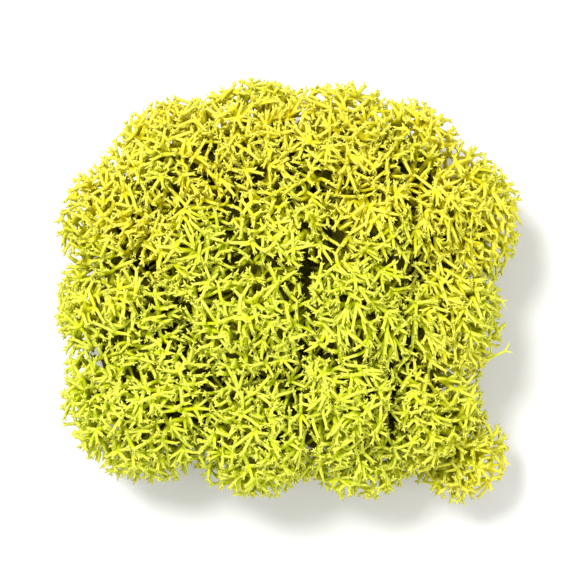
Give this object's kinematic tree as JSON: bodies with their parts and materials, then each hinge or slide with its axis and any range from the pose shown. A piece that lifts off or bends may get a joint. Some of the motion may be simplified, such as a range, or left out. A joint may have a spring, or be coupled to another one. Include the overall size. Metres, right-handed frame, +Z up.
{
  "type": "reindeer moss clump",
  "caption": "Loose cushion of preserved yellow-green reindeer moss: domed heads of fine forked branchlets leaning out from a narrower base, for lining pots, baskets and models.",
  "frame": {"origin": "middle of the flat foot under the middle head, on the surface that the clump rests on", "axes": "+X along the clump's longest side, +Y along its width, up in the picture, +Z up out of the crown"},
  "size_m": [0.0908, 0.0825, 0.0383],
  "materials": {
    "moss_golden": "matt, soft dyed lichen branches, paler at the tips and browner at the foot",
    "moss_lime": "matt, soft dyed lichen branches, paler at the tips and browner at the foot",
    "moss_green": "matt, soft dyed lichen branches, paler at the tips and browner at the foot"
  },
  "bodies": {
    "root": {"head_01": "moss_golden", "head_02": "moss_golden", "head_03": "moss_golden", "head_04": "moss_golden", "head_05": "moss_golden", "head_06": "moss_lime", "head_07": "moss_golden", "head_08": "moss_lime", "head_09": "moss_lime", "head_10": "moss_green", "head_11": "moss_green", "head_12": "moss_lime", "head_13": "moss_lime", "head_14": "moss_green", "head_15": "moss_green", "head_16": "moss_lime", "head_17": "moss_lime", "head_18": "moss_green", "head_19": "moss_lime"}
  },
  "joints": []
}
